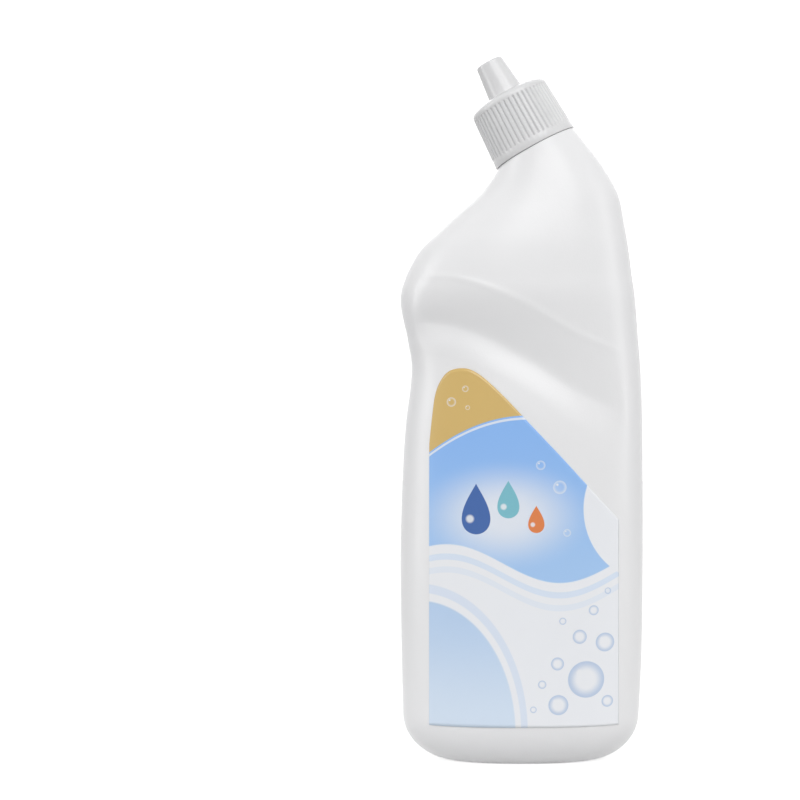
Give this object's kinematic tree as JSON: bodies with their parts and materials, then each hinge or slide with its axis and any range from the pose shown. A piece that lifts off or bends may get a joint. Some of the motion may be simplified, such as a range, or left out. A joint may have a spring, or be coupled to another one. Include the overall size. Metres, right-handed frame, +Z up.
{
  "type": "toilet cleaner bottle",
  "caption": "Full oval squeeze bottle with a waist, a leaning neck, a pouring insert and a ribbed screw cap that unscrews and rises on its thread.",
  "frame": {"origin": "on the table, under the middle of the bottle's width and depth", "axes": "+Z up along the bottle's height, -Y towards the front label, -X towards the side that the neck leans to"},
  "size_m": [0.0848, 0.0472, 0.2455],
  "materials": {
    "bottle_plastic": "satin",
    "insert_plastic": "satin",
    "washer_foam": "matte",
    "cap_plastic": "satin",
    "label_film": "satin",
    "cleaner": "gloss"
  },
  "bodies": {
    "bottle": {"bottle_body": "bottle_plastic", "nozzle_insert": "insert_plastic", "front_label": "label_film", "back_label": "label_film", "cleaner_gel": "cleaner"},
    "washer": {"sealing_washer": "washer_foam"},
    "cap": {"screw_cap": "cap_plastic"}
  },
  "joints": [
    {"name": "cap_rise", "type": "slide", "parent": "bottle", "child": "washer", "axis": [-0.4756, 0, 0.8796], "range_m": [0, 0.0064]},
    {"name": "cap_turn", "type": "hinge", "parent": "washer", "child": "cap", "pos_m": [0.0048, 0, 0.2132], "axis": [-0.4756, 0, 0.8796], "range_deg": [0, 540]}
  ],
  "couplings": [
    {"joint": "cap_rise", "follows": "cap_turn", "m_per_rad": 0.0006737}
  ]
}
